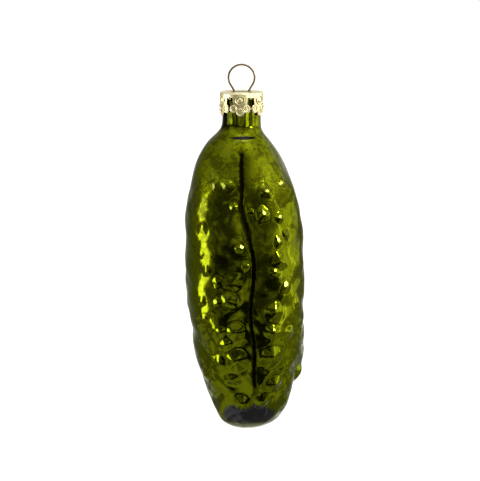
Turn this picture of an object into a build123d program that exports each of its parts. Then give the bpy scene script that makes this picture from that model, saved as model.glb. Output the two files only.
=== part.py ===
from build123d import *
import os
from math import acos, asin, atan2, cos, degrees, radians, sin, tan

# A pickle ornament in three pieces: a mould-blown glass body, a pressed crown cap that sits over
# its neck, and a spring wire hanger whose legs pass through the cap and down into the neck.
# The origin is where a hook bears, inside the top of the wire loop. +Z is up, the long crease is
# on the front, which faces -Y, and every size is in millimetres.

# Hanger: one length of spring wire, a round loop above the cap and two bowed legs below it
WIRE_D = 0.55
LOOP_INNER_D = 6.7
LOOP_STAND = 3.85  # centre of the loop above the cap's plate
LEG_PITCH = 4.0  # between the two legs at the waist, just above the plate
WAIST_RISE = 0.2  # from the plate up to the waist
LEG_DROP = 16.0  # from the plate down to the tips of the legs
BOW_DROP = 9.0  # from the plate down to where the legs are widest apart
BOW_GAP = 0.35  # from the bowed legs to the bore of the neck
TIP_TURN_IN = 0.7  # how far the tips come in again from the widest place
WAIST_BEND_R = 0.5
BOW_BEND_R = 15.0

# Crown cap: thin sheet, pressed to a cup with a filigree edge of petals
SHEET = 0.3
CAP_GAP = 0.35  # between the skirt and the neck
CAP_EDGE_R = 0.5  # outside rounding between plate and skirt
SLOT_GAP = 0.55  # between the wire and each side of the slot
BAND_H = 1.3  # plain band at the top of the skirt
PETALS = 6
PETAL_TURN = -4.0  # degrees from the front to the middle of the first petal
BOSS_DROP = 2.05  # from the top of the plate down to a petal's boss
BOSS_R = 1.5
BEAD_R = 0.85
BEAD_RISE = 0.35
WEB_W = 4.3  # of a petal's sheet where it leaves the band, wider than its boss
LOBE_R = 1.15  # the three round lobes of a petal
SIDE_LOBE_DROP = 4.4
PETAL_GAP = 0.15  # between the side lobes of neighbouring petals
LOW_LOBE_DROP = 5.3
RIM_D = 0.4  # raised rim round each boss and lobe
RIM_INSET = 0.08  # from the edge of a boss or lobe to its rim
RIM_SINK = 0.05  # of the rim's middle below the outside of the sheet
STUD_R = 0.36  # small stud between two petals, on a tongue below the band
TONGUE_R = 0.45
STUD_RISE = 0.2

# Glass: a short cut neck on a leaning, spindle-shaped body with warts and one long crease
LIP_GAP = 0.1  # from the cut lip of the neck to the plate above it
NECK_D = 10.7
NECK_WALL = 0.9
NECK_LENGTH = 10.4
NECK_ROOT = 3.0  # how far the neck runs on into the body
NECK_FILLET_R = 1.8
BODY_D = 33.6
BODY_LENGTH = 84.4
BODY_WALL = 0.9
BODY_LEAN = 2.3  # degrees, towards +X on the way down
BODY_SHIFT = -0.5  # of the body's axis from the neck's, at the shoulder
CREASE_W = 1.3
CREASE_DEPTH = 0.5
CREASE_BEND_R = 40.0  # greatest radius at a corner of the crease's route
WART_SLOPE = 0.4  # rise of a wart over the radius of its base
TINY_WART_R = 0.85
SMALL_WART_R = 1.25
WART_R = 1.6
LARGE_WART_R = 2.1

# The body's outline, as shares of its length down from the neck and of its greatest radius
BODY_OUTLINE = [
    (0.027, 0.490),
    (0.067, 0.637),
    (0.167, 0.851),
    (0.308, 0.967),
    (0.489, 1.000),
    (0.670, 0.935),
    (0.830, 0.780),
    (0.931, 0.590),
    (0.970, 0.425),
    (0.991, 0.235),
    (1.000, 0.000),
]

# The crease's route, as shares of the body's length and degrees round from the front
CREASE_ROUTE = [
    (0.055, 3.0),
    (0.130, 0.8),
    (0.200, 0.4),
    (0.255, 2.0),
    (0.310, 6.4),
    (0.380, 8.4),
    (0.470, 7.7),
    (0.560, 5.8),
    (0.660, 5.1),
    (0.760, 5.9),
    (0.860, 5.2),
]

# Warts of one half of the mould: share of the body's length, degrees round, radius of the base
WARTS = [
    (0.158, -34, SMALL_WART_R),
    (0.168, -18, WART_R),
    (0.230, -10, SMALL_WART_R),
    (0.309, -44, WART_R),
    (0.361, -8, WART_R),
    (0.390, -47, SMALL_WART_R),
    (0.425, -3, WART_R),
    (0.448, -40, SMALL_WART_R),
    (0.482, -29, SMALL_WART_R),
    (0.533, -13, WART_R),
    (0.548, -26, SMALL_WART_R),
    (0.551, -47, SMALL_WART_R),
    (0.611, -46, SMALL_WART_R),
    (0.638, -16, LARGE_WART_R),
    (0.702, -45, WART_R),
    (0.730, -17, WART_R),
    (0.754, -33, WART_R),
    (0.800, -61, WART_R),
    (0.810, -21, WART_R),
    (0.882, -10, LARGE_WART_R),
    (0.141, 24, TINY_WART_R),
    (0.162, 48, SMALL_WART_R),
    (0.179, 24, WART_R),
    (0.246, 8, TINY_WART_R),
    (0.254, 18, WART_R),
    (0.271, 39, SMALL_WART_R),
    (0.326, 46, SMALL_WART_R),
    (0.346, 35, SMALL_WART_R),
    (0.406, 34, LARGE_WART_R),
    (0.451, 27, SMALL_WART_R),
    (0.501, 39, WART_R),
    (0.556, 60, WART_R),
    (0.575, 26, LARGE_WART_R),
    (0.656, 21, WART_R),
    (0.655, 46, SMALL_WART_R),
    (0.659, 68, SMALL_WART_R),
    (0.734, 22, WART_R),
    (0.822, 30, WART_R),
    (0.876, 19, WART_R),
]
MOULD_HALVES = 2
SEAM_WART = (0.803, 82, LARGE_WART_R)  # one by the seam that has no twin on the other half

# Levels and radii that several pieces share
WIRE_R = WIRE_D / 2
LOOP_R = LOOP_INNER_D / 2 + WIRE_R
LOOP_Z = -LOOP_INNER_D / 2
PLATE_TOP_Z = LOOP_Z - LOOP_STAND
PLATE_MID_Z = PLATE_TOP_Z - SHEET / 2
LIP_Z = PLATE_TOP_Z - SHEET - LIP_GAP
SHOULDER_Z = LIP_Z - NECK_LENGTH
NECK_R = NECK_D / 2
BORE_R = NECK_R - NECK_WALL
CAP_IN_R = NECK_R + CAP_GAP
CAP_R = CAP_IN_R + SHEET
SKIRT_H = LOW_LOBE_DROP + LOBE_R
HALF_PITCH = 180 / PETALS  # degrees from a petal to the gap beside it
SIDE_LOBE_TURN = HALF_PITCH - degrees(asin((LOBE_R + PETAL_GAP / 2) / CAP_IN_R))


def make_hanger():
    """Sweeps the wire along one line: tip, bow, waist above the cap's slot, loop, and back down."""
    bow_x = BORE_R - BOW_GAP - WIRE_R
    waist = Vector(LEG_PITCH / 2, PLATE_TOP_Z + WAIST_RISE)
    bow = Vector(bow_x, PLATE_MID_Z - BOW_DROP)
    tip = Vector(bow_x - TIP_TURN_IN, PLATE_MID_Z - LEG_DROP)

    # The straight stretch above the waist meets the loop's circle as its tangent
    from_centre = waist - Vector(0, LOOP_Z)
    touch = atan2(from_centre.Y, from_centre.X) + acos(LOOP_R / from_centre.length)
    meets_loop = Vector(LOOP_R * cos(touch), LOOP_Z + LOOP_R * sin(touch))

    leg = FilletPolyline(tip, bow, waist, meets_loop, radius=[BOW_BEND_R, WAIST_BEND_R])
    start = degrees(touch)
    loop = CenterArc((0, LOOP_Z), LOOP_R, start, 180 - 2 * start)
    other_leg = mirror(leg, about=Plane.YZ)
    line = Plane.XZ * Wire(leg.edges() + loop.edges() + other_leg.edges())
    section = Plane(origin=line @ 0, z_dir=line % 0) * Circle(WIRE_R)
    return sweep(section, path=line)


def on_skirt(turn, drop, radius):
    """Plane at a place round the cap, facing outwards, at this radius and drop below the plate."""
    a = radians(turn)
    outwards = Vector(sin(a), -cos(a), 0)
    place = outwards * radius + Vector(0, 0, PLATE_TOP_Z - drop)
    return Plane(origin=place, x_dir=(cos(a), sin(a), 0), z_dir=outwards)


def prism(turn, drop, area):
    """Area drawn on the skirt, pushed outwards from halfway to the axis to well outside the sheet."""
    return extrude(on_skirt(turn, drop, CAP_IN_R / 2) * area, amount=CAP_R)


def ball(turn, drop, base_r, rise, inset=0.0):
    """Ball that stands out of the skirt by rise on a base of this radius."""
    ball_r = (base_r**2 + rise**2) / (2 * rise)
    centre = on_skirt(turn, drop, CAP_R + rise - ball_r).origin
    return Pos(centre) * Sphere(ball_r - inset)


def make_cap():
    """Pressed cup with a slot for the wire, cut to petals and tongues, then embossed."""
    cup_line = FilletPolyline(
        (0, PLATE_TOP_Z),
        (CAP_R, PLATE_TOP_Z),
        (CAP_R, PLATE_TOP_Z - SKIRT_H),
        (CAP_IN_R, PLATE_TOP_Z - SKIRT_H),
        (CAP_IN_R, PLATE_TOP_Z - SHEET),
        (0, PLATE_TOP_Z - SHEET),
        radius=[CAP_EDGE_R, 0, 0, CAP_EDGE_R - SHEET],
    )
    axis_line = Line((0, PLATE_TOP_Z - SHEET), (0, PLATE_TOP_Z))
    cup = revolve(Plane.XZ * make_face(cup_line.edges() + axis_line.edges()), Axis.Z)

    # The front petal: a boss above, three lobes below, and a web that joins them
    discs = [
        (0, BOSS_DROP, BOSS_R),
        (-SIDE_LOBE_TURN, SIDE_LOBE_DROP, LOBE_R),
        (SIDE_LOBE_TURN, SIDE_LOBE_DROP, LOBE_R),
        (0, LOW_LOBE_DROP, LOBE_R),
    ]
    half_web = WEB_W / 2
    half_side = CAP_R * sin(radians(SIDE_LOBE_TURN))
    web = Polyline(
        (half_web, -BAND_H),
        (half_side, -SIDE_LOBE_DROP),
        (0, -LOW_LOBE_DROP),
        (-half_side, -SIDE_LOBE_DROP),
        (-half_web, -BAND_H),
        close=True,
    )
    petal = prism(0, 0, make_face(web)) + [prism(t, d, Circle(r)) for t, d, r in discs]
    tongue = prism(HALF_PITCH, BAND_H, Circle(TONGUE_R))

    # Rims, bead and stud of one petal, which stand out of the sheet, and the hollow behind the bead
    core = Pos(0, 0, PLATE_TOP_Z) * extrude(Circle(CAP_R - SHEET / 2), amount=-SKIRT_H)
    bead = ball(0, BOSS_DROP, BEAD_R, BEAD_RISE) - core
    stud = ball(HALF_PITCH, BAND_H, STUD_R, STUD_RISE) - core
    hollow = ball(0, BOSS_DROP, BEAD_R, BEAD_RISE, inset=SHEET)
    embossed = [bead, stud]
    for turn, drop, radius in discs:
        ring = Torus(radius - RIM_INSET - RIM_D / 2, RIM_D / 2)
        embossed.append(on_skirt(turn, drop, CAP_R - RIM_SINK) * ring)

    turns = [Rot(0, 0, PETAL_TURN + 2 * HALF_PITCH * n) for n in range(PETALS)]
    keep = Pos(0, 0, PLATE_TOP_Z + SHEET) * extrude(Circle(2 * CAP_R), amount=-(SHEET + BAND_H))
    for turn in turns:
        keep = keep + [turn * petal, turn * tongue]
    cap = cup & keep
    for turn in turns:
        cap = cap + [turn * shape for shape in embossed] - turn * hollow
    slot = SlotCenterToCenter(LEG_PITCH, WIRE_D + 2 * SLOT_GAP)
    return cap - extrude(Pos(0, 0, PLATE_TOP_Z) * slot, amount=-SHEET)


def round_nosed(points):
    """Smooth line through points that meets the axis square on, at the last of them."""
    other_side = [(-p.X, p.Y) for p in reversed(points[:-1])]
    return Spline(points + other_side).trim(0, 0.5)


def body_outline():
    """Outer line of the body in its own plane: x is the radius, y runs down from the shoulder."""
    points = [Vector(BORE_R - NECK_WALL / 3, 1.5 * NECK_WALL)]
    points += [Vector(r * BODY_D / 2, -s * BODY_LENGTH) for s, r in BODY_OUTLINE]
    return round_nosed(points)


def inner_outline(outer):
    """The same line, one wall thickness inside the glass."""
    steps = 24
    points = []
    for n in range(steps + 1):
        along = outer % (n / steps)
        points.append(outer @ (n / steps) + Vector(along.Y, -along.X) * BODY_WALL)
    points[-1] = Vector(0, points[-1].Y)
    return round_nosed(points)


def turned(outline):
    """Solid of revolution under an outline that ends on the axis."""
    start, end = outline @ 0, outline @ 1
    closing = Polyline(end, (0, start.Y), start)
    return revolve(Plane.XZ * make_face([outline] + closing.edges()), Axis.Z)


def surface_place(outer, share, turn):
    """(point, outward normal) on the body at a share of its length and degrees from the front."""
    low, high = 0.0, 1.0
    for _ in range(40):
        middle = (low + high) / 2
        if (outer @ middle).Y > -share * BODY_LENGTH:
            low = middle
        else:
            high = middle
    point, along = outer @ low, outer % low
    a = radians(turn)
    normal = Vector(-along.Y * sin(a), along.Y * cos(a), along.X)
    return Vector(point.X * sin(a), -point.X * cos(a), point.Y), normal


def make_wart(outer, share, turn, base_r):
    """Ball sunk into the body so that only a low crown stands out of it."""
    rise = base_r * WART_SLOPE
    ball_r = (base_r**2 + rise**2) / (2 * rise)
    point, normal = surface_place(outer, share, turn)
    return Pos(point + normal * (rise - ball_r)) * Sphere(ball_r)


def make_crease(outer):
    """Round-bottomed groove along the route, as a tube that lies part in the surface."""
    tube_r = (CREASE_W**2 / 4 + CREASE_DEPTH**2) / (2 * CREASE_DEPTH)
    points = []
    for n, (share, turn) in enumerate(CREASE_ROUTE):
        point, normal = surface_place(outer, share, turn)
        at_end = n in (0, len(CREASE_ROUTE) - 1)
        points.append(point + normal * (tube_r if at_end else tube_r - CREASE_DEPTH))
    radii = []
    for before, corner, after in zip(points, points[1:], points[2:]):
        run_in, run_out = corner - before, after - corner
        half_turn = radians(run_in.get_angle(run_out)) / 2
        room = 0.45 * min(run_in.length, run_out.length)
        radii.append(min(CREASE_BEND_R, room / tan(half_turn)))
    line = FilletPolyline(points, radius=radii)
    section = Plane(origin=line @ 0, z_dir=line % 0) * Circle(tube_r)
    return sweep(section, path=line)


def make_glass():
    """Neck and leaning body as one hollow blown shell."""
    outer = body_outline()
    on_body = Location((BODY_SHIFT, 0, SHOULDER_Z), (0, -BODY_LEAN, 0))
    neck_h = NECK_LENGTH + NECK_ROOT
    neck = Pos(0, 0, LIP_Z) * extrude(Circle(NECK_R), amount=-neck_h)
    bore = Pos(0, 0, LIP_Z) * extrude(Circle(BORE_R), amount=-neck_h)

    blank = on_body * turned(outer) + neck
    neck_side = blank.faces().filter_by(GeomType.CYLINDER).sort_by(Axis.Z)[-1]
    junction = [e for e in neck_side.edges() if e.bounding_box().max.Z < LIP_Z - NECK_LENGTH / 2]
    blank = fillet(junction, NECK_FILLET_R)

    half_turn = 360 / MOULD_HALVES
    warts = []
    for half in range(MOULD_HALVES):
        warts += [on_body * make_wart(outer, s, a + half * half_turn, r) for s, a, r in WARTS]
    warts.append(on_body * make_wart(outer, *SEAM_WART))
    hollow = on_body * turned(inner_outline(outer)) + bore
    return blank + warts - on_body * make_crease(outer) - hollow


os.makedirs("parts", exist_ok=True)
for name, make in (("hanger_wire", make_hanger), ("crown_cap", make_cap), ("glass_pickle", make_glass)):
    piece = make()
    print(name, "solids", len(piece.solids()), "volume", round(piece.volume, 2), "valid", piece.is_valid)
    export_step(piece, f"parts/{name}.step")
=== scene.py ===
import bpy
import numpy as np
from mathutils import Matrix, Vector


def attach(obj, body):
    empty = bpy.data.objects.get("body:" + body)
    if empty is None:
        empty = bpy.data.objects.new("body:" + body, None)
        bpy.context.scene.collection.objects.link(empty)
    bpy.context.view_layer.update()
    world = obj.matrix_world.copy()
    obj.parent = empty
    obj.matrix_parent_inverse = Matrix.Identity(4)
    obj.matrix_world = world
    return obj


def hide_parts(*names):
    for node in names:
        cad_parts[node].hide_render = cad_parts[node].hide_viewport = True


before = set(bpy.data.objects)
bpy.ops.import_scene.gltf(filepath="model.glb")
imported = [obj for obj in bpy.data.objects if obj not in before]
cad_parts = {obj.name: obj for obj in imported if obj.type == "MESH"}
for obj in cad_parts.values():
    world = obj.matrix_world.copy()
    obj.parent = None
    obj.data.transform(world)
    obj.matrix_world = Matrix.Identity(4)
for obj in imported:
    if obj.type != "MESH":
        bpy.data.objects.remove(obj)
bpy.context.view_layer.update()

# Glass shell: the pickle is thin glass blown into a warty two-part mould. It is silvered inside and
# dipped in yellow-green lacquer outside, and its short neck is cut square where the cap goes on.
MM = 0.001
GLASS_WALL = 0.9
LIP_ROUND = 0.15
SKIN_ROWS = 288
LINING_ROWS = 16
COLUMNS = 300

# The shell's outline from the lip to the tip: height, radius, and how far its middle is from the neck's
GLASS_LINE = np.array([
    (-7.6, 5.35, 0.0),
    (-11.5, 5.35, 0.0),
    (-15.4, 5.36, 0.0),
    (-17.4, 5.7, -0.15),
    (-18.6, 6.45, -0.35),
    (-20.3, 8.0, -0.58),
    (-22.4, 9.6, -0.66),
    (-25.4, 11.35, -0.55),
    (-29.3, 13.05, -0.3),
    (-34.0, 14.65, 0.1),
    (-40.0, 15.85, 0.42),
    (-48.0, 16.36, 0.64),
    (-57.0, 16.53, 0.9),
    (-66.0, 16.35, 1.2),
    (-74.5, 15.7, 1.7),
    (-82.0, 14.55, 2.05),
    (-88.5, 12.8, 2.35),
    (-94.0, 10.95, 2.35),
    (-97.0, 9.6, 2.1),
    (-99.2, 8.1, 1.8),
    (-100.7, 6.2, 1.7),
    (-101.7, 3.7, 1.65),
    (-102.25, 0.0, 1.65),
])

# The crease: height, degrees round from the front, half width and depth
CREASE = np.array([
    (-20.5, 5.4, 1.5, 0.0),
    (-22.3, 4.8, 1.4, 0.14),
    (-24.5, 3.8, 1.25, 0.26),
    (-27.5, 2.4, 1.0, 0.36),
    (-30.3, 1.3, 0.78, 0.45),
    (-33.0, 0.6, 0.6, 0.5),
    (-35.7, -0.6, 0.54, 0.55),
    (-38.5, -0.4, 0.46, 0.52),
    (-42.6, 3.2, 0.44, 0.52),
    (-48.2, 6.6, 0.42, 0.5),
    (-53.9, 8.5, 0.36, 0.46),
    (-59.5, 6.8, 0.30, 0.4),
    (-65.2, 4.9, 0.27, 0.36),
    (-68.1, 4.1, 0.27, 0.36),
    (-73.8, 5.5, 0.27, 0.36),
    (-79.6, 6.1, 0.27, 0.34),
    (-85.4, 5.3, 0.30, 0.3),
    (-88.3, 6.2, 0.4, 0.18),
    (-91.5, 6.8, 0.6, 0.05),
    (-95.0, 7.0, 0.8, 0.0),
])

# Its two lips: height, rise of the left one, rise of the right one, and how far the painted
# shade in the crease lies to the left
LIPS = np.array([
    (-28.0, 0.02, 0.02, 0.1),
    (-36.0, 0.03, 0.05, 0.2),
    (-40.0, 0.03, 0.13, 0.38),
    (-45.0, 0.03, 0.13, 0.36),
    (-49.0, 0.06, 0.05, 0.1),
    (-55.0, 0.13, 0.04, -0.22),
    (-58.5, 0.13, 0.04, -0.22),
    (-62.5, 0.02, 0.01, 0.0),
    (-70.0, 0.0, 0.0, 0.0),
    (-85.0, 0.0, 0.0, 0.0),
])

# A low fold that runs into the crease from its left: height, degrees round
FOLD = np.array([(-36.5, -6.2), (-38.7, -4.9), (-41.2, -3.1), (-44.6, -0.4), (-47.7, 2.3), (-50.2, 4.5)])

# Warts of one half of the mould: height, degrees round from its middle, radius, rise over radius, and
# radius of a pressed flat, which looks half right and up, or with a minus sign half left
WARTS = np.array([
    (-29.9, 26, 1.0, 0.30, 0.0),
    (-31.6, -31, 1.5, 0.36, -0.7),
    (-31.8, 53, 1.7, 0.36, 0.8),
    (-32.2, -15, 1.9, 0.38, -0.7),
    (-33.4, 26, 2.1, 0.36, 0.8),
    (-37.5, -9, 1.3, 0.55, -0.5),
    (-38.8, 8, 1.0, 0.30, 0.0),
    (-39.7, 20, 2.1, 0.36, 0.8),
    (-40.8, 39, 1.5, 0.34, 0.65),
    (-44.1, -44, 1.9, 0.13, 0.0),
    (-45.5, 46, 1.5, 0.22, 0.0),
    (-47.4, 36, 1.6, 0.32, 0.7),
    (-48.9, -4, 1.4, 0.60, 0.7),
    (-50.9, -47, 1.5, 0.12, 0.0),
    (-52.8, 36, 2.5, 0.30, 1.0),
    (-54.1, 1, 1.4, 0.60, 0.6),
    (-55.8, -40, 1.6, 0.16, 0.0),
    (-55.8, 30, 1.4, 0.32, 0.5),
    (-58.5, -27, 1.7, 0.20, 0.0),
    (-58.7, -12, 2.6, 0.20, 0.0),
    (-60.0, 43, 1.8, 0.32, 0.75),
    (-63.3, -16, 2.4, 0.38, -0.9),
    (-64.2, -27, 1.5, 0.30, -0.6),
    (-64.5, -47, 1.6, 0.16, 0.0),
    (-64.9, 60, 1.9, 0.25, 0.0),
    (-67.1, 28, 2.9, 0.30, 0.45),
    (-69.5, -46, 1.6, 0.18, 0.0),
    (-72.0, -11, 2.7, 0.44, -0.5),
    (-72.4, -26, 1.6, 0.26, 0.0),
    (-76.2, -22, 1.8, 0.26, 0.0),
    (-72.6, 25, 2.3, 0.34, 0.4),
    (-73.2, 47, 2.0, 0.34, 0.4),
    (-73.6, 68, 1.6, 0.25, 0.0),
    (-77.2, -45, 2.2, 0.20, 0.0),
    (-79.6, 14, 2.3, 0.30, 0.0),
    (-79.8, 24, 3.4, 0.42, 0.5),
    (-80.2, -13, 3.3, 0.42, -0.45),
    (-81.6, -31, 2.3, 0.24, 0.0),
    (-85.5, -61, 2.2, 0.22, 0.0),
    (-86.5, -21, 2.3, 0.44, 0.0),
    (-87.4, 31, 2.6, 0.42, 0.35),
    (-92.4, 15, 2.5, 0.44, 0.0),
    (-92.8, -9, 2.8, 0.44, 0.0),
])
# One more stands by the right-hand seam and has no twin on the other half
SEAM_WART = np.array([(-86.0, 82, 2.8, 0.36, 0.0)])
FLAT_RIGHT = np.array([0.468, -0.839, 0.277])
FLAT_LEFT = np.array([-0.684, -0.730, 0.024])
FRONT_FLATTEN = 0.985
SEAM_TURN = 75

# The crease's columns, lips and fold, and faint drag lines on the right
LEAN_HALF = 0.9
LIP_OFFSET = 1.0
LIP_HALF = 0.45
FOLD_RISE = 0.1
DRAG_TURN = 56
DRAG_HEIGHT = -49
DRAG_RISE = 0.006
DRAG_PITCH = 1.3

# Ripple of blown glass, coarse to fine: shortest and longest wave, most times round, steepness
RIPPLES = ((12, 30, 9, 0.017), (5, 9, 19, 0.016), (2.5, 4.5, 40, 0.0045))
WAVES_EACH = 24
MEAN_RADIUS = 16.5


def share_past(value, start, end):
    """0 up to the start, 1 from the end on, and in proportion between them."""
    return np.clip((value - start) / (end - start), 0, 1)


def bell(off, half):
    """Bell curve: e to the power of -(off / half)^2."""
    return np.exp(-((off / half) ** 2))


def smooth_line(knots, values, at):
    """Natural cubic spline, read at the places given. The second slopes m at the knots solve
    h0*m0 + 2*(h0 + h1)*m1 + h1*m2 = 6 * (the change of slope there), with m = 0 at both ends."""
    step = np.diff(knots)
    slope = np.diff(values) / step
    inner = np.arange(1, len(knots) - 1)
    band = np.eye(len(knots))
    band[inner, inner - 1] = step[:-1]
    band[inner, inner] = 2 * (step[:-1] + step[1:])
    band[inner, inner + 1] = step[1:]
    right = np.zeros(len(knots))
    right[inner] = 6 * np.diff(slope)
    m = np.linalg.solve(band, right)
    k = np.clip(np.searchsorted(knots, at) - 1, 0, len(step) - 1)
    h, done, left = step[k], at - knots[k], knots[k + 1] - at
    cubic = (m[k] * left**3 + m[k + 1] * done**3) / (6 * h)
    return cubic + (values[k] / h - m[k] * h / 6) * left + (values[k + 1] / h - m[k + 1] * h / 6) * done


def even_rows(line, rows, fine_steps=6000):
    """Spline through the outline's points, with their chord lengths as its parameter, read at equal
    steps of arc length. The points are mirrored past the tip, so the line meets the axis square on."""
    mirrored = line[-2::-1] * (1, -1, 1)
    points = np.vstack([line, mirrored])
    chord = np.append(0, np.cumsum(np.hypot(*np.diff(points[:, :2], axis=0).T)))
    fine = np.linspace(0, chord[len(line) - 1], fine_steps)
    dense = np.stack([smooth_line(chord, column, fine) for column in points.T], -1)
    length = np.append(0, np.cumsum(np.hypot(*np.diff(dense[:, :2], axis=0).T)))
    at = np.linspace(0, length[-1], rows)
    return np.stack([np.interp(at, length, column) for column in dense.T], -1)


def column_angles(columns, fine_steps=7201):
    """Angles once round from the back, read at equal steps of the running sum of a density. It is 0.6 at
    the back, 0.9 more over the front as e to the power of -(angle / 1.45)^4, and 2.0 more at the crease."""
    angle = np.linspace(-np.pi, np.pi, fine_steps)
    density = 0.6 + 0.9 * np.exp(-((angle / 1.45) ** 4)) + 2.0 * bell(angle, 0.1)
    total = np.append(0, np.cumsum((density[1:] + density[:-1]) / 2))
    return np.interp(np.arange(columns) / columns * total[-1], total, angle)


def mould_ripple(turn, height):
    """Slow unevenness of blown glass: a sum of seeded sine waves, each a whole number of times round
    and some millimetres long. A wave's height is its steepness over its count of radians a millimetre."""
    chance = np.random.default_rng(5)
    total = np.zeros(np.broadcast(turn, height).shape)
    for shortest, longest, most_round, steep in RIPPLES:
        for _ in range(WAVES_EACH):
            round_count = chance.integers(0, most_round)
            wave = chance.uniform(shortest, longest) * chance.choice((-1, 1))
            start = chance.uniform(0, 2 * np.pi)
            pace = np.hypot(round_count / MEAN_RADIUS, 2 * np.pi / wave)
            total += steep / pace * np.sin(round_count * turn + 2 * np.pi * height / wave + start)
    return total


def skin_place(height, angle):
    """(point, outward normal, level tangent) of the plain skin at a height and an angle from the front."""
    row = np.argmin(np.abs(height_at - height))
    outwards = np.array([np.sin(angle), -np.cos(angle), 0])
    around = np.array([np.cos(angle), np.sin(angle), 0])
    normal = outwards * out_share[row] + np.array([0, 0, up_share[row]])
    point = outwards * radius_at[row] + np.array([middle_at[row], 0, height_at[row]])
    return point, normal, around


def wart_field(points, normals, table, turn_of_half, seed):
    """Height of a table's warts over the plain skin. A wart is part round dome and part blunt cone,
    (1 - q^2)^1.3 and 1 - q, on a wide low foot and with a shallow moat, where q is the distance from
    its middle over its radius. Its radius wanders with the angle round it, as 3 and 5 lobes. The warts
    near the tip are rounder and lower than the rest, with a small nipple on top, but not by the seams."""
    chance = np.random.default_rng(seed)
    total = np.zeros(points.shape[:2])
    for height, turn, size, rise, _ in table:
        middle, normal, around = skin_place(height, np.radians(turn) + turn_of_half)
        along = np.cross(normal, around)
        spin, three, five = chance.uniform(0, 2 * np.pi, 3)
        long_way = around * np.cos(spin) + along * np.sin(spin)
        short_way = along * np.cos(spin) - around * np.sin(spin)
        oval = chance.uniform(0.88, 1.18)
        off = points - middle
        across = (off @ long_way) / (size * oval)
        updown = (off @ short_way) / (size / oval)
        bearing = np.arctan2(updown, across)
        keen = 1 - share_past(height, -60, -72)
        lobes = 1 + keen * (0.1 * np.cos(3 * bearing + three) + 0.06 * np.cos(5 * bearing + five))
        q2 = (across**2 + updown**2) * lobes**2 + (np.minimum(off @ normal, 0) / (2.5 * size)) ** 2
        facing = (normals @ normal) > 0
        dome = np.clip(1 - q2, 0, 1) ** 1.3
        cone = np.clip(1.1 - np.sqrt(q2 + 0.04), 0, 1) ** 1.1
        foot = 0.24 * np.exp(-q2 / 3.6)
        moat = 0.06 * bell(np.sqrt(q2) - 1.12, 0.22)
        low = share_past(height, -66, -74) * (abs(turn) < SEAM_TURN)
        nipple = 0.3 * low * np.exp(-q2 / 0.2)
        peak = (1 - 0.5 * low) * ((1 - 0.5 * keen) * dome + 0.5 * keen * cone) + nipple
        total += facing * size * rise * (peak + foot - moat)
    return total


def press_flats(points, plain, table, turn_of_half):
    """Presses a flat into each wart that has one, square to a fixed direction. What reaches past the
    flat's plane goes back to it along the wart's own normal. The plane lies flat^2 * rise / radius
    below the wart's farthest point in that direction, so the flat gets its radius. A wart whose farthest
    point lies at the edge of its foot gets none. The flats' mask is given back."""
    pressed = np.zeros(points.shape[:2])
    for height, turn, size, rise, flat in table[table[:, 4] != 0]:
        middle, normal, _ = skin_place(height, np.radians(turn) + turn_of_half)
        direction = FLAT_RIGHT if flat > 0 else FLAT_LEFT
        direction = direction * (np.cos(turn_of_half), np.cos(turn_of_half), 1)
        away = np.linalg.norm(plain - middle, axis=-1)
        reach = np.where(away < size, points @ direction, -np.inf)
        farthest = reach.argmax()
        foot_edge = 0.85 * size
        if away.flat[farthest] > foot_edge:
            continue
        past = reach - (reach.flat[farthest] - flat**2 * rise / size)
        back = np.where(past > 0, past, 0) / (normal @ direction)
        points -= back[..., None] * normal
        pressed += past > 0
    return pressed


def closed_mesh(name, rings, first, last):
    """Closed surface through rings of points: quads from ring to ring, and at each end triangles to
    one point on the axis."""
    rows, columns, _ = rings.shape
    points = np.vstack([rings.reshape(-1, 3), first, last]) * MM
    here = np.arange(columns)
    after = (here + 1) % columns
    base = np.arange(rows - 1)[:, None] * columns
    quads = np.stack([base + here, base + after, base + columns + after, base + columns + here], -1)
    top = (rows - 1) * columns
    start = np.stack([np.full(columns, rows * columns), after, here], -1)
    end = np.stack([top + here, top + after, np.full(columns, rows * columns + 1)], -1)
    mesh = bpy.data.meshes.new(name)
    mesh.from_pydata(points.tolist(), [], quads.reshape(-1, 4).tolist() + start.tolist() + end.tolist())
    mesh.shade_smooth()
    piece = bpy.data.objects.new(name, mesh)
    bpy.context.collection.objects.link(piece)
    return piece


skin = even_rows(GLASS_LINE, SKIN_ROWS + 1)[::-1]
tip, skin = skin[0], skin[1:]
height_at, radius_at, middle_at = skin.T
slope_up = np.gradient(height_at)
slope_out = np.gradient(radius_at)
run = np.hypot(slope_up, slope_out)
out_share = slope_up / run
up_share = -slope_out / run

# Columns lean over so that one of them follows the crease
column = column_angles(COLUMNS)
crease_at = np.clip(height_at, CREASE[-1, 0], CREASE[0, 0])
crease_knots = CREASE[::-1]
crease_turn, crease_half, crease_depth = (
    smooth_line(crease_knots[:, 0], values, crease_at) for values in crease_knots[:, 1:].T
)
crease_turn = np.radians(crease_turn)
turn = column[None, :] + crease_turn[:, None] * bell(column[None, :], LEAN_HALF)
outwards = np.stack([np.sin(turn), -np.cos(turn), np.zeros_like(turn)], -1)
plain = outwards * radius_at[:, None, None]
plain[..., 0] += middle_at[:, None]
plain[..., 2] += height_at[:, None]
normals = outwards * out_share[:, None, None]
normals[..., 2] += up_share[:, None]

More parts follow.
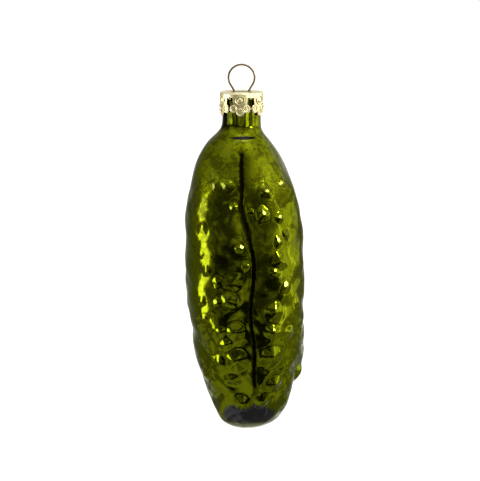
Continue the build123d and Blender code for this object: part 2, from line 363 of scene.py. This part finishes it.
# The crease is a narrow groove with a soft lip each side, and the fold a step with a thin line in it
from_crease = column[None, :] * radius_at[:, None]
groove = crease_depth[:, None] * bell(from_crease, crease_half[:, None])
left_rise, right_rise, stain_shift = (
    np.interp(height_at, LIPS[::-1, 0], values) for values in LIPS[::-1, 1:].T
)
lip_rise = np.where(from_crease < 0, left_rise[:, None], right_rise[:, None])
lips = lip_rise * bell(np.abs(from_crease) - LIP_OFFSET, LIP_HALF)
lips *= share_past(crease_depth[:, None], 0, CREASE[:, 3].max())
fold_at = np.clip(height_at, FOLD[-1, 0], FOLD[0, 0])
fold_turn = np.radians(smooth_line(FOLD[::-1, 0], FOLD[::-1, 1], fold_at))
from_fold = (turn - fold_turn[:, None]) * radius_at[:, None]
from_fold_end = np.minimum(FOLD[0, 0] - height_at, height_at - FOLD[-1, 0])
fold_fade = share_past(from_fold_end, 0, 3.0)[:, None]
fold = FOLD_RISE * fold_fade * (bell(from_fold - 0.8, 0.6) - bell(from_fold, 0.35))

# The ripple fades out at the neck and the tip and is stronger low down, and the warts lie over it
below_neck = share_past(height_at, -18.5, -34.5)
above_tip = share_past(height_at, tip[0], tip[0] + 9.0)
rougher = 1 + 0.7 * share_past(height_at, -58, -76)
relief = (below_neck * above_tip * rougher)[:, None] * mould_ripple(turn, height_at[:, None])
drag = bell(np.degrees(turn) - DRAG_TURN, 16) * bell(height_at[:, None] - DRAG_HEIGHT, 10)
relief += DRAG_RISE * drag * np.sin(radius_at[:, None] * turn * 2 * np.pi / DRAG_PITCH)
relief += wart_field(plain, normals, WARTS, 0.0, 3)
relief += wart_field(plain, normals, WARTS, np.pi, 4)
relief += wart_field(plain, normals, SEAM_WART, 0.0, 6)
relief += lips + fold - groove
rings = plain + normals * relief[..., None]
rings[..., 1] *= FRONT_FLATTEN
flats = press_flats(rings, plain, WARTS, 0.0) + press_flats(rings, plain, WARTS, np.pi)

# Over the cut lip and down the silvered inside, one wall in from the plain skin
SMALLEST_RING = 0.05
ROWS_LEFT_OUT = 4
lip_rows = np.array([
    (GLASS_LINE[0, 0], GLASS_LINE[0, 1] - LIP_ROUND),
    (GLASS_LINE[0, 0], GLASS_LINE[0, 1] - GLASS_WALL + LIP_ROUND),
    (GLASS_LINE[0, 0] - LIP_ROUND, GLASS_LINE[0, 1] - GLASS_WALL),
])
inner_line = np.stack([
    height_at - up_share * GLASS_WALL,
    np.maximum(radius_at - out_share * GLASS_WALL, SMALLEST_RING),
    middle_at,
], -1)
chosen = np.linspace(len(inner_line) - ROWS_LEFT_OUT, ROWS_LEFT_OUT, LINING_ROWS).round().astype(int)
lining = np.vstack([np.column_stack([lip_rows, np.zeros(len(lip_rows))]), inner_line[chosen]])
ring_out = np.stack([np.sin(column), -np.cos(column), np.zeros_like(column)], -1)
lining_rings = ring_out[None] * lining[:, 1][:, None, None]
lining_rings[..., 0] += lining[:, 2][:, None]
lining_rings[..., 2] += lining[:, 0][:, None]
rings[-1] -= np.array([0, 0, LIP_ROUND])

glass = closed_mesh(
    "glass_shell",
    np.concatenate([rings, lining_rings]),
    (tip[2], 0, tip[0]),
    (tip[2], 0, tip[0] + GLASS_WALL),
)


def surface_mask(name, skin_values, lining_value):
    """Keeps one value for each point of the glass: the skin's, ring by ring, then one for the whole
    lining, then 0 at the tip of the skin and the lining's value at its own end."""
    lining_values = np.full(len(lining) * COLUMNS, lining_value)
    values = np.concatenate([skin_values.ravel(), lining_values, (0, lining_value)]).astype(np.float32)
    glass.data.attributes.new(name, "FLOAT", "POINT").data.foreach_set("value", values)


# Painted shade in the crease and on the shoulder beside it, and where the crease dips
stain_half = (1.35 + share_past(height_at, -46, -58)) * np.minimum(crease_half, 0.6)
stain = bell(from_crease + stain_shift[:, None], stain_half[:, None])
stain *= share_past(crease_depth[:, None], 0, 0.32)
shade = share_past(height_at, -21.5, -24.5) * share_past(height_at, -36.0, -30.0)
shade = shade[:, None] * bell(from_crease - 0.9, 2.1)
dip = share_past(crease_depth[:, None], 0, 0.3) * np.exp(-((from_crease / 1.3) ** 4))
surface_mask("groove", stain, 0.0)
surface_mask("shade", shade, 0.0)
surface_mask("dip", dip, 0.0)
surface_mask("bead", np.clip(flats, 0, 1), 0.0)
surface_mask("inside", np.zeros(stain.shape), 1.0)


def add_node(tree, kind, inputs, **options):
    """New shader node with its options set. Each input is a value, or a socket that is linked to it."""
    made = tree.nodes.new("ShaderNode" + kind)
    for name, value in options.items():
        setattr(made, name, value)
    for name, value in inputs.items():
        if isinstance(value, bpy.types.NodeSocket):
            tree.links.new(value, made.inputs[name])
        else:
            made.inputs[name].default_value = value
    return made


def new_material(name):
    """Material with one Principled shader: (it, its tree, that shader, the socket for Object coordinates)."""
    made = bpy.data.materials.new(name)
    made.use_nodes = True
    tree = made.node_tree
    place = add_node(tree, "TexCoord", {}).outputs["Object"]
    return made, tree, tree.nodes["Principled BSDF"], place


def mix_colour(tree, share, first, second):
    """Socket with the first colour where share is 0 and the second where it is 1."""
    return add_node(tree, "Mix", {0: share, 6: first, 7: second}, data_type="RGBA").outputs[2]


def ramp(tree, value, low, high, to_low=0.0, to_high=1.0):
    """Socket that goes smoothly from to_low to to_high as value goes from low to high."""
    made = add_node(
        tree,
        "MapRange",
        {"Value": value, "From Min": low, "From Max": high, "To Min": to_low, "To Max": to_high},
        interpolation_type="SMOOTHSTEP",
    )
    return made.outputs["Result"]


def combine(tree, first, second, operation="ADD"):
    """Socket with the sum of two values, or with what another operation makes of them."""
    return add_node(tree, "Math", {0: first, 1: second}, operation=operation).outputs[0]


def times(tree, first, second):
    """Socket with the product of two values."""
    return combine(tree, first, second, "MULTIPLY")


def noise(tree, place, scale, detail, roughness=0.5):
    """Socket with a soft noise of this scale, from 0 to 1 and about 0.5 in the mean."""
    inputs = {"Vector": place, "Scale": scale, "Detail": detail, "Roughness": roughness}
    return add_node(tree, "TexNoise", inputs).outputs[0]


def lens_mask(tree, place, cloud, in_front, lens):
    """Socket that is 1 inside a lens on the front of the glass, with an edge that wanders with the cloud:
    (x / half width)^2 + (z / half height)^2 < 1, from the lens's middle."""
    middle_x, middle_z, half_wide, half_high, wobble = lens
    middle = (middle_x, 0, middle_z)
    off = add_node(tree, "VectorMath", {0: place, 1: middle}, operation="SUBTRACT").outputs[0]
    shares = (1 / half_wide, 0, 1 / half_high)
    flat = add_node(tree, "VectorMath", {0: off, 1: shares}, operation="MULTIPLY").outputs[0]
    reach = add_node(tree, "VectorMath", {0: flat}, operation="LENGTH").outputs["Value"]
    edge = combine(tree, reach, times(tree, cloud, wobble))
    return times(tree, ramp(tree, edge, 1.05 + wobble / 2, 0.85 + wobble / 2), in_front)


OLIVE = (0.076, 0.090, 0.0006, 1)
DEEP_OLIVE = (0.034, 0.038, 0.0004, 1)
# Painted dark reflection, nearly black
POOLED = (0.004, 0.003, 0.004, 1)
# Painted shade, black
CREASE_BLACK = (0.003, 0.0025, 0.0003, 1)
# Painted reflection of a bright rim, pale grey
THIN_TIP = (0.24, 0.25, 0.12, 1)
SILVER = (0.2, 0.2, 0.19, 1)

# Lenses on the front: x and z of the middle, half width, half height, and wobble of the edge
TIP_POOL = (0.0020, -0.0966, 0.0076, 0.0038, 0.5)
LEFT_EYE = (0.0004, -0.0918, 0.0034, 0.0033, 0.2)
RIGHT_EYE = (0.0062, -0.0912, 0.0032, 0.0032, 0.2)
NECK_POOL = (0.0005, -0.0195, 0.0036, 0.00045, 0.2)

lacquer, tree, shader, place = new_material("green_lacquer")
across, depth, height = add_node(tree, "SeparateXYZ", {0: place}).outputs
cloud = noise(tree, place, 260.0, 5.0, 0.6)
grain = noise(tree, place, 900.0, 3.0)
masks = {}
for name in ("groove", "dip", "shade", "bead", "inside"):
    masks[name] = add_node(tree, "Attribute", {}, attribute_name=name).outputs["Fac"]

# The shoulder is satin and cloudy, and the lacquer gets brighter and smoother on the way down
uneven_height = combine(tree, height, times(tree, cloud, 0.008))
off_neck = ramp(tree, height, -0.0165, -0.018)
satin = times(tree, ramp(tree, uneven_height, -0.034, -0.022), off_neck)
mottle = ramp(tree, combine(tree, cloud, grain), 0.88, 1.2)
worn = times(tree, mottle, ramp(tree, height, -0.080, -0.026, 0.25, 1.0))

# Painted dark reflection over the tip and under the neck: the colour there is nearly black, standing
# in for the dark that the glass reflects. Two warts over the tip are left out of it
in_front = ramp(tree, depth, -0.001, -0.003)
left_eye = lens_mask(tree, place, cloud, in_front, LEFT_EYE)
right_eye = lens_mask(tree, place, cloud, in_front, RIGHT_EYE)
clear = combine(tree, 1.0, combine(tree, left_eye, right_eye, "MAXIMUM"), "SUBTRACT")
tip_pool = times(tree, lens_mask(tree, place, cloud, in_front, TIP_POOL), clear)
neck_pool = lens_mask(tree, place, cloud, in_front, NECK_POOL)
pool = combine(tree, tip_pool, neck_pool, "MAXIMUM")

# Painted shade: the neck is darkened on its left and under the cap, where the cap's shadow falls,
# and the crease is painted dark with a ragged edge
on_neck = ramp(tree, height, -0.0185, -0.0165)
neck_side = times(tree, ramp(tree, across, -0.0030, -0.0036, 0.0, 0.92), on_neck)
under_cap = ramp(tree, height, -0.0122, -0.0112, 0.0, 0.75)
at_tip = ramp(tree, height, -0.0990, -0.1004)
ragged = combine(tree, masks["groove"], times(tree, combine(tree, grain, 0.5, "SUBTRACT"), 0.9))
stained = times(tree, ramp(tree, ragged, 0.1, 0.75), ramp(tree, masks["groove"], 0.02, 0.15))
# The lacquer's mottle and the painted shade beside the crease both make the olive deeper
green = mix_colour(tree, combine(tree, worn, masks["shade"], "MAXIMUM"), OLIVE, DEEP_OLIVE)
# Painted shade on the neck's left side and painted shadow of the cap
green = mix_colour(tree, neck_side, green, CREASE_BLACK)
green = mix_colour(tree, under_cap, green, CREASE_BLACK)
# Painted dark reflection over the tip and under the neck
green = mix_colour(tree, pool, green, POOLED)
# Painted reflection: the very tip is painted pale grey
green = mix_colour(tree, at_tip, green, THIN_TIP)
# Painted shade: the crease is painted black with a ragged edge
green = mix_colour(tree, stained, green, CREASE_BLACK)
tree.links.new(mix_colour(tree, masks["inside"], green, SILVER), shader.inputs["Base Color"])

rough = ramp(tree, height, -0.078, -0.050, 0.1, 0.14)
rough = combine(tree, rough, times(tree, on_neck, 0.09), "SUBTRACT")
rough = combine(tree, rough, times(tree, satin, 0.22))
rough = combine(tree, rough, times(tree, worn, 0.05))
rough = combine(tree, rough, times(tree, masks["groove"], 0.4))
tree.links.new(rough, shader.inputs["Roughness"])

# A clear coat lies thick at the shoulder, down the left side and towards the tip, and shows at the rims.
# It also stands in a bead on the flats of the warts, and there is none in the crease
low_down = ramp(tree, height, -0.064, -0.080)
at_shoulder = ramp(tree, height, -0.036, -0.027, 0.0, 0.6)
on_left = ramp(tree, across, -0.004, -0.012, 0.0, 0.45)
thick = combine(tree, combine(tree, low_down, at_shoulder, "MAXIMUM"), on_left, "MAXIMUM")
facing = add_node(tree, "LayerWeight", {"Blend": 0.5}).outputs["Facing"]
at_rim = ramp(tree, facing, 0.45, 0.95, 0.0, 0.9)
at_rim = times(tree, at_rim, ramp(tree, thick, 0.0, 1.0, 0.12, 1.0))
on_flats = ramp(tree, masks["bead"], 0.2, 0.8, 0.025, 0.16)
coat = combine(tree, combine(tree, at_rim, on_flats), times(tree, tip_pool, 0.45), "MAXIMUM")
coat = combine(tree, coat, ramp(tree, height, -0.0986, -0.1004, 0.0, 0.9), "MAXIMUM")
coat = times(tree, coat, ramp(tree, masks["dip"], 0.1, 0.6, 1.0, 0.0))
tree.links.new(coat, shader.inputs["Coat Weight"])
shader.inputs["Coat Roughness"].default_value = 0.04
shader.inputs["Metallic"].default_value = 1.0
shader.inputs["Specular Tint"].default_value = (0.5, 0.5, 0.3, 1)
fine_peel = times(tree, grain, ramp(tree, satin, 0.0, 1.0, 0.00003, 0.00008))
peel = combine(tree, times(tree, cloud, times(tree, satin, 0.0002)), fine_peel)
bump = add_node(tree, "Bump", {"Height": peel, "Strength": 1.0, "Distance": 1.0})
tree.links.new(bump.outputs["Normal"], shader.inputs["Normal"])
glass.data.materials.append(lacquer)
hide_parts("glass_pickle")
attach(glass, "glass")

# Crown cap: thin pale-gold sheet pressed to a cup, with a slot in its top for the wire and a skirt
# of embossed trefoil petals. It only rests over the neck, and the sprung wire holds it there.
PALE_GOLD = (0.64, 0.575, 0.31, 1)
TARNISHED_GOLD = (0.48, 0.42, 0.21, 1)
# The next three colours are painted shade: in the hollows, at the slot and inside the cap
HOLLOW_GOLD = (0.46, 0.40, 0.20, 1)
SLOT_SHADE = (0.05, 0.03, 0.012, 1)
BARE_INSIDE = (0.03, 0.028, 0.02, 1)


def tarnish_group():
    """Shader node group: a mask of soft cloudy patches and a finer grain, for metals that dull with age."""
    group = bpy.data.node_groups.new("tarnish", "ShaderNodeTree")
    group.interface.new_socket("Place", in_out="INPUT", socket_type="NodeSocketVector")
    group.interface.new_socket("Scale", in_out="INPUT", socket_type="NodeSocketFloat")
    group.interface.new_socket("Mask", in_out="OUTPUT", socket_type="NodeSocketFloat")
    group.interface.new_socket("Grain", in_out="OUTPUT", socket_type="NodeSocketFloat")
    given = group.nodes.new("NodeGroupInput").outputs
    patches = noise(group, given["Place"], given["Scale"], 6.0)
    fine = noise(group, given["Place"], times(group, given["Scale"], 7.0), 3.0)
    result = group.nodes.new("NodeGroupOutput").inputs
    group.links.new(ramp(group, patches, 0.42, 0.68), result["Mask"])
    group.links.new(fine, result["Grain"])
    return group


tarnish = tarnish_group()


def aged_metal(name, bright, dull, patch_scale, rough_bright, rough_dull):
    """Metal whose colour and roughness follow the tarnish mask, with a fine grain in its relief."""
    made, tree, shader, place = new_material(name)
    mask = add_node(tree, "Group", {"Place": place, "Scale": patch_scale}, node_tree=tarnish)
    tree.links.new(mix_colour(tree, mask.outputs["Mask"], bright, dull), shader.inputs["Base Color"])
    rough = ramp(tree, mask.outputs["Mask"], 0.0, 1.0, rough_bright, rough_dull)
    tree.links.new(rough, shader.inputs["Roughness"])
    shader.inputs["Metallic"].default_value = 1.0
    bump = add_node(tree, "Bump", {"Height": mask.outputs["Grain"], "Strength": 0.06, "Distance": 0.0002})
    tree.links.new(bump.outputs["Normal"], shader.inputs["Normal"])
    return made, tree, shader, place


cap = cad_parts["crown_cap"]
gold, tree, shader, place = aged_metal("pressed_gold", PALE_GOLD, TARNISHED_GOLD, 420.0, 0.32, 0.5)
across, depth, height = add_node(tree, "SeparateXYZ", {0: place}).outputs
flat = add_node(tree, "VectorMath", {0: place, 1: (1.0, 1.0, 0.0)}, operation="MULTIPLY").outputs[0]
from_axis = add_node(tree, "VectorMath", {0: flat}, operation="LENGTH").outputs["Value"]

# Painted shade: it is darker in the hollows of the petals, dark brown at the slot and nearly black inside
on_skirt = ramp(tree, height, -0.0083, -0.0087)
hollows = times(tree, ramp(tree, from_axis, 0.00612, 0.00602), on_skirt)
below_plate = ramp(tree, height, -0.00735, -0.00745)
# Painted shade: the inside of the cap, under its top, is nearly black
inside = times(tree, ramp(tree, from_axis, 0.00590, 0.00580), below_plate)
to_side = add_node(tree, "Math", {0: across}, operation="ABSOLUTE").outputs[0]
to_front = add_node(tree, "Math", {0: depth}, operation="ABSOLUTE").outputs[0]
# Painted shade around the slot
slot_stain = times(tree, ramp(tree, to_side, 0.0031, 0.0027), ramp(tree, to_front, 0.0011, 0.0009))
coloured = shader.inputs["Base Color"].links[0].from_socket
coloured = mix_colour(tree, hollows, coloured, HOLLOW_GOLD)
coloured = mix_colour(tree, slot_stain, coloured, SLOT_SHADE)
coloured = mix_colour(tree, inside, coloured, BARE_INSIDE)
tree.links.new(coloured, shader.inputs["Base Color"])
cap.material_slots[0].material = gold

# Hanger: one length of drawn brass wire, bent to a round loop above the cap. Its two bowed legs go
# through the slot and spring out against the inside of the neck.
DRAWN_BRASS = (0.20, 0.14, 0.06, 1)
BROWN_BRASS = (0.10, 0.06, 0.02, 1)
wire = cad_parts["hanger_wire"]
wire.material_slots[0].material = aged_metal("brown_brass", DRAWN_BRASS, BROWN_BRASS, 160.0, 0.38, 0.5)[0]

# Studio: a pale table with a round tongue at its front lies under the ornament, in a white tent. A dark
# curtain with an opening hangs on the camera's side, with an apron nearer to the ornament and a grey flag
# behind it on the left. Softboxes stand above and at the sides, and two small ones close to the neck.
MIDDLE = Vector((0.0005, 0.0, -0.055))
NECK = Vector((0.0, 0.0, -0.0135))


def softbox(name, turn, rise, reach, wide, high, radiance, target=MIDDLE):
    """Area lamp at this reach from its target, which it faces; turn is degrees round from the camera, + to
    the right, and rise degrees up. Its power is four times radiance and area."""
    lamp = bpy.data.lights.new(name, "AREA")
    lamp.shape = "RECTANGLE"
    lamp.size = wide
    lamp.size_y = high
    lamp.energy = 4 * radiance * wide * high
    box = bpy.data.objects.new(name, lamp)
    box.visible_camera = False
    turned = np.radians(turn)
    raised = np.radians(rise)
    level = np.cos(raised)
    box.location = target + reach * Vector((np.sin(turned) * level, -np.cos(turned) * level, np.sin(raised)))
    box.rotation_euler = (target - box.location).to_track_quat("-Z", "Y").to_euler()
    bpy.context.collection.objects.link(box)


def upright(left, right, bottom, top, y):
    """Corners of a card that stands square to the y axis."""
    return [(left, y, bottom), (right, y, bottom), (right, y, top), (left, y, top)]


def card(name, corners, heights, tones, patchy):
    """Flat card with these corners, which the camera looks through. Its tone goes from the first to the
    second between these two heights, times a soft noise from 1 - patchy to 1 + 1.6 * patchy."""
    mesh = bpy.data.meshes.new(name)
    mesh.from_pydata(corners, [], [(0, 1, 2, 3)])
    made = bpy.data.materials.new(name)
    made.use_nodes = True
    tree = made.node_tree
    tree.nodes.clear()
    place = add_node(tree, "TexCoord", {}).outputs["Object"]
    height = add_node(tree, "SeparateXYZ", {0: place}).outputs[2]
    tone = ramp(tree, height, *heights, *tones)
    uneven = ramp(tree, noise(tree, place, 6.0, 0.0), 0.36, 0.66, 1 - patchy, 1 + 1.6 * patchy)
    glow = add_node(tree, "Emission", {"Strength": times(tree, tone, uneven)})
    add_node(tree, "OutputMaterial", {"Surface": glow.outputs[0]})
    mesh.materials.append(made)
    piece = bpy.data.objects.new(name, mesh)
    bpy.context.collection.objects.link(piece)
    piece.visible_camera = False
    piece.visible_shadow = False
    piece.visible_diffuse = False


softbox("left_strip", -86, -5, 0.6, 0.2, 0.30, 9.0)
softbox("neck_strip", 33, -2, 0.045, 0.0129, 0.0101, 4.5, NECK)
softbox("neck_left_strip", -62, -4, 0.045, 0.011, 0.0067, 3.6, NECK)
softbox("right_far_strip", 74, -2, 0.6, 0.03, 0.30, 4.0)
softbox("right_edge_strip", 104, -3, 0.58, 0.05, 0.14, 3.0)
softbox("right_bulb", 60, 20, 0.6, 0.09, 0.08, 75.0)
softbox("right_lamp", 52, 70, 0.6, 0.20, 0.16, 7.0)
softbox("right_panel", 101, -1, 0.6, 0.8, 0.21, 1.6)
softbox("right_high_panel", 108, 30, 0.6, 0.66, 0.30, 1.6)
softbox("top_right_panel", 72, 46, 0.6, 0.26, 0.26, 1.1)
softbox("top_left_panel", -60, 58, 0.6, 0.30, 0.26, 1.0)
softbox("top_panel", 8, 78, 0.6, 0.24, 0.14, 5.5)

CURTAIN_LEFT = -1.0
CURTAIN_RIGHT = 0.78
CURTAIN_Y = -0.6
valance = upright(CURTAIN_LEFT, CURTAIN_RIGHT, 0.0, 0.26, CURTAIN_Y)
card("curtain_valance", valance, (0.0, 0.09), (0.38, 0.16), 0.2)
curtain = upright(CURTAIN_LEFT, CURTAIN_RIGHT, -0.18, 0.0, CURTAIN_Y)
card("camera_curtain", curtain, (-0.16, 0.0), (0.3, 0.4), 0.8)
hem = upright(CURTAIN_LEFT, CURTAIN_RIGHT, -0.5, -0.18, CURTAIN_Y)
card("curtain_hem", hem, (-0.27, -0.18), (0.02, 0.3), 0.4)
opening = upright(-0.16, 0.2, -0.11, 0.07, -0.59)
card("curtain_opening", opening, (-0.11, 0.0), (0.55, 0.85), 0.6)
apron = upright(-0.08, 0.08, -0.15, -0.085, -0.2)
card("camera_apron", apron, (-0.15, -0.085), (0.03, 0.03), 0.2)
side = [(-0.90, -0.25, -0.4), (-1.0, -0.6, -0.4), (-1.0, -0.6, 0.36), (-0.90, -0.25, 0.36)]
card("curtain_side", side, (-0.4, 0.36), (0.4, 0.4), 0.6)
flag = [(-0.30, 0.06, -0.15), (-0.05, 0.28, -0.15), (-0.05, 0.28, 0.06), (-0.30, 0.06, 0.06)]
card("left_flag", flag, (-0.15, 0.06), (0.55, 0.55), 0.1)
below = [(-2, -2, -0.32), (2, -2, -0.32), (2, 2, -0.32), (-2, 2, -0.32)]
card("room_floor", below, (-0.4, -0.3), (0.04, 0.04), 0.2)

TABLE_Z = -0.150
TABLE_LEFT_X = -0.30
TABLE_RIGHT_X = 1.5
TABLE_FRONT_Y = -0.116
TABLE_BACK_Y = 2.5
TONGUE_X = -0.015
TONGUE_HALF = 0.045
TONGUE_REACH = 0.085
half_turn = np.linspace(0, np.pi, 33)
tongue_x = TONGUE_X - TONGUE_HALF * np.cos(half_turn)
tongue_y = TABLE_FRONT_Y - TONGUE_REACH * np.sin(half_turn)
table_edge = [
    (TABLE_LEFT_X, TABLE_FRONT_Y, TABLE_Z),
    *((x, y, TABLE_Z) for x, y in zip(tongue_x, tongue_y)),
    (TABLE_RIGHT_X, TABLE_FRONT_Y, TABLE_Z),
    (TABLE_RIGHT_X, TABLE_BACK_Y, TABLE_Z),
    (TABLE_LEFT_X, TABLE_BACK_Y, TABLE_Z),
]
table_mesh = bpy.data.meshes.new("table")
table_mesh.from_pydata(table_edge, [], [range(len(table_edge))])
table = bpy.data.objects.new("table", table_mesh)
bpy.context.collection.objects.link(table)

# The table looks as white as the tent to the camera, and patchy in the glass
table_top = bpy.data.materials.new("pale_table")
table_top.use_nodes = True
tree = table_top.node_tree
tree.nodes.clear()
rays = add_node(tree, "LightPath", {}).outputs
place = add_node(tree, "TexCoord", {}).outputs["Object"]
cloud = noise(tree, place, 22.0, 7.0, 0.6)
mirrored = times(tree, rays["Is Glossy Ray"], ramp(tree, cloud, 0.50, 0.56, 0.0, 0.85))
seen = combine(tree, rays["Is Camera Ray"], rays["Is Transmission Ray"])
matt = add_node(tree, "BsdfDiffuse", {"Color": (0.33, 0.33, 0.32, 1)})
glow = add_node(tree, "Emission", {"Strength": combine(tree, seen, mirrored)})
both = add_node(tree, "AddShader", {0: matt.outputs[0], 1: glow.outputs[0]})
add_node(tree, "OutputMaterial", {"Surface": both.outputs[0]})
table_mesh.materials.append(table_top)

world = bpy.data.worlds.new("white_tent")
bpy.context.scene.world = world
world.use_nodes = True
tree = world.node_tree
rays = add_node(tree, "LightPath", {}).outputs
seen = combine(tree, rays["Is Camera Ray"], rays["Is Glossy Ray"])
seen = combine(tree, seen, rays["Is Transmission Ray"])
background = tree.nodes["Background"].inputs
background["Color"].default_value = (1, 1, 1, 1)
tree.links.new(ramp(tree, seen, 0.0, 1.0, 0.6, 1.0), background["Strength"])

# Camera: in front of the ornament and a little above it, with a long lens. It aims just above the
# middle of the body and the loop.
VIEW_RISE = np.radians(8)
VIEW_REACH = 0.9
LENS_MM = 241
aim = Vector((-0.00042, 0, -0.04902))
eye = bpy.data.cameras.new("camera")
eye.lens = LENS_MM
eye.clip_start = 0.01
camera = bpy.data.objects.new("camera", eye)
camera.location = aim + VIEW_REACH * Vector((0, -np.cos(VIEW_RISE), np.sin(VIEW_RISE)))
camera.rotation_euler = (aim - camera.location).to_track_quat("-Z", "Y").to_euler()
bpy.context.collection.objects.link(camera)
bpy.context.scene.camera = camera
bpy.context.scene.view_settings.view_transform = "Standard"
